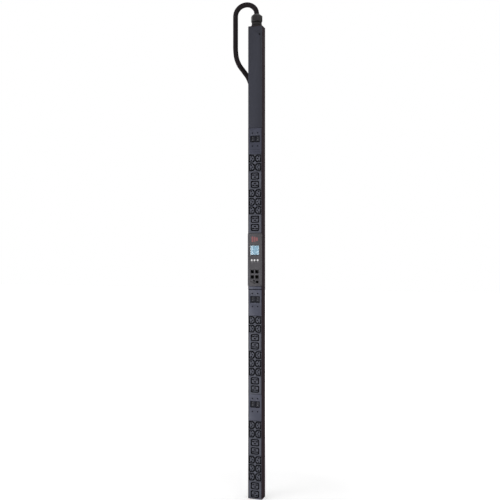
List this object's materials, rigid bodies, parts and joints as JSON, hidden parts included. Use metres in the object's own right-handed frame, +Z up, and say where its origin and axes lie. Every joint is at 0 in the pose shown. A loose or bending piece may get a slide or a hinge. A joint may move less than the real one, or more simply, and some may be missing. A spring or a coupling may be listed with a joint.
{
  "type": "rack power strip",
  "caption": "Vertical rack power strip with breaker-protected banks of sockets, a metering display module, a cable gland and a heavy power cord.",
  "frame": {"origin": "centre of the lower mounting peg's flat end face, behind the body", "axes": "+Z up along the strip, -Y towards the outlets, +Y out of the back, +X to the right seen from the front"},
  "size_m": [0.1256, 0.2127, 1.9307],
  "materials": {
    "channel_paint": "black powder coat, slightly textured",
    "front_paint": "dark grey satin powder coat",
    "outlet_plastic": "dark grey moulded plastic, fine grain",
    "breaker_case": "dark grey moulded case",
    "breaker_handle": "grey moulded rocker",
    "tinned_copper": "tinned pressed strip",
    "window_glass": "clear screen window",
    "screen": "pale blue backlit screen",
    "board": "green solder mask",
    "button_rubber": "white moulded silicone",
    "black_plastic": "black moulded plastic",
    "gland_nylon": "dark grey glass-filled nylon",
    "seal_rubber": "black seal",
    "plated_steel": "zinc plated",
    "cord_rubber": "dark rubber jacket, fine matt grain",
    "tie_fabric": "black hook-and-loop tape",
    "plug_nylon": "black nylon plug body",
    "plug_contacts": "brass blades in a black insert"
  },
  "bodies": {
    "root": {"rear_channel": "channel_paint", "top_end_plate": "channel_paint", "bottom_end_cap": "channel_paint", "upper_front_cover": "front_paint", "breaker_bezel_1": "front_paint", "breaker_bezel_2": "front_paint", "breaker_bezel_3": "front_paint", "display_bezel": "front_paint", "breaker_body_1_left": "breaker_case", "breaker_body_1_right": "breaker_case", "c13_block_1_upper": "outlet_plastic", "c13_block_1_lower": "outlet_plastic", "c19_block_1_upper": "outlet_plastic", "c19_block_1_lower": "outlet_plastic", "line_busbar_1": "tinned_copper", "breaker_body_2_left": "breaker_case", "breaker_body_2_right": "breaker_case", "c13_block_2_upper": "outlet_plastic", "c13_block_2_lower": "outlet_plastic", "c19_block_2_upper": "outlet_plastic", "c19_block_2_lower": "outlet_plastic", "line_busbar_2": "tinned_copper", "breaker_body_3_left": "breaker_case", "breaker_body_3_right": "breaker_case", "c13_block_3_upper": "outlet_plastic", "c13_block_3_lower": "outlet_plastic", "c19_block_3_upper": "outlet_plastic", "c19_block_3_lower": "outlet_plastic", "line_busbar_3": "tinned_copper", "neutral_busbar": "tinned_copper", "earth_busbar": "tinned_copper", "display_window": "window_glass", "lcd_panel": "screen", "controller_board": "board", "network_jack_block": "black_plastic", "sensor_jack": "black_plastic", "service_port": "black_plastic", "terminal_block": "black_plastic", "gland_body": "gland_nylon", "gland_nut": "gland_nylon", "gland_locknut": "gland_nylon", "gland_seal": "seal_rubber", "cover_screw": "plated_steel", "upper_mounting_peg": "plated_steel", "lower_mounting_peg": "plated_steel", "power_cord": "cord_rubber", "cord_hank": "cord_rubber", "cord_tie": "tie_fabric", "plug_shell": "plug_nylon", "plug_insert": "plug_contacts"},
    "rocker_1_left": {"breaker_rocker_1_left": "breaker_handle"},
    "rocker_1_right": {"breaker_rocker_1_right": "breaker_handle"},
    "rocker_2_left": {"breaker_rocker_2_left": "breaker_handle"},
    "rocker_2_right": {"breaker_rocker_2_right": "breaker_handle"},
    "rocker_3_left": {"breaker_rocker_3_left": "breaker_handle"},
    "rocker_3_right": {"breaker_rocker_3_right": "breaker_handle"},
    "menu_button_1": {"menu_button_1": "button_rubber"},
    "menu_button_2": {"menu_button_2": "button_rubber"},
    "menu_button_3": {"menu_button_3": "button_rubber"},
    "reset_button": {"reset_button": "black_plastic"}
  },
  "joints": [
    {"name": "rocker_1_left_hinge", "type": "hinge", "parent": "root", "child": "rocker_1_left", "pos_m": [-0.00995, -0.0437, 1.2557], "axis": [1, 0, 0], "range_deg": [0, 24]},
    {"name": "rocker_1_right_hinge", "type": "hinge", "parent": "root", "child": "rocker_1_right", "pos_m": [0.00995, -0.0437, 1.2557], "axis": [1, 0, 0], "range_deg": [0, 24]},
    {"name": "rocker_2_left_hinge", "type": "hinge", "parent": "root", "child": "rocker_2_left", "pos_m": [-0.00995, -0.0437, 0.6355], "axis": [1, 0, 0], "range_deg": [0, 24]},
    {"name": "rocker_2_right_hinge", "type": "hinge", "parent": "root", "child": "rocker_2_right", "pos_m": [0.00995, -0.0437, 0.6355], "axis": [1, 0, 0], "range_deg": [0, 24]},
    {"name": "rocker_3_left_hinge", "type": "hinge", "parent": "root", "child": "rocker_3_left", "pos_m": [-0.00995, -0.0437, 0.2296], "axis": [1, 0, 0], "range_deg": [0, 24]},
    {"name": "rocker_3_right_hinge", "type": "hinge", "parent": "root", "child": "rocker_3_right", "pos_m": [0.00995, -0.0437, 0.2296], "axis": [1, 0, 0], "range_deg": [0, 24]},
    {"name": "menu_button_1_press", "type": "slide", "parent": "root", "child": "menu_button_1", "axis": [0, 1, 0], "range_m": [0, 0.0008], "stiffness_N_per_m": 400},
    {"name": "menu_button_2_press", "type": "slide", "parent": "root", "child": "menu_button_2", "axis": [0, 1, 0], "range_m": [0, 0.0008], "stiffness_N_per_m": 400},
    {"name": "menu_button_3_press", "type": "slide", "parent": "root", "child": "menu_button_3", "axis": [0, 1, 0], "range_m": [0, 0.0008], "stiffness_N_per_m": 400},
    {"name": "reset_button_press", "type": "slide", "parent": "root", "child": "reset_button", "axis": [0, 1, 0], "range_m": [0, 0.0005], "stiffness_N_per_m": 500}
  ]
}
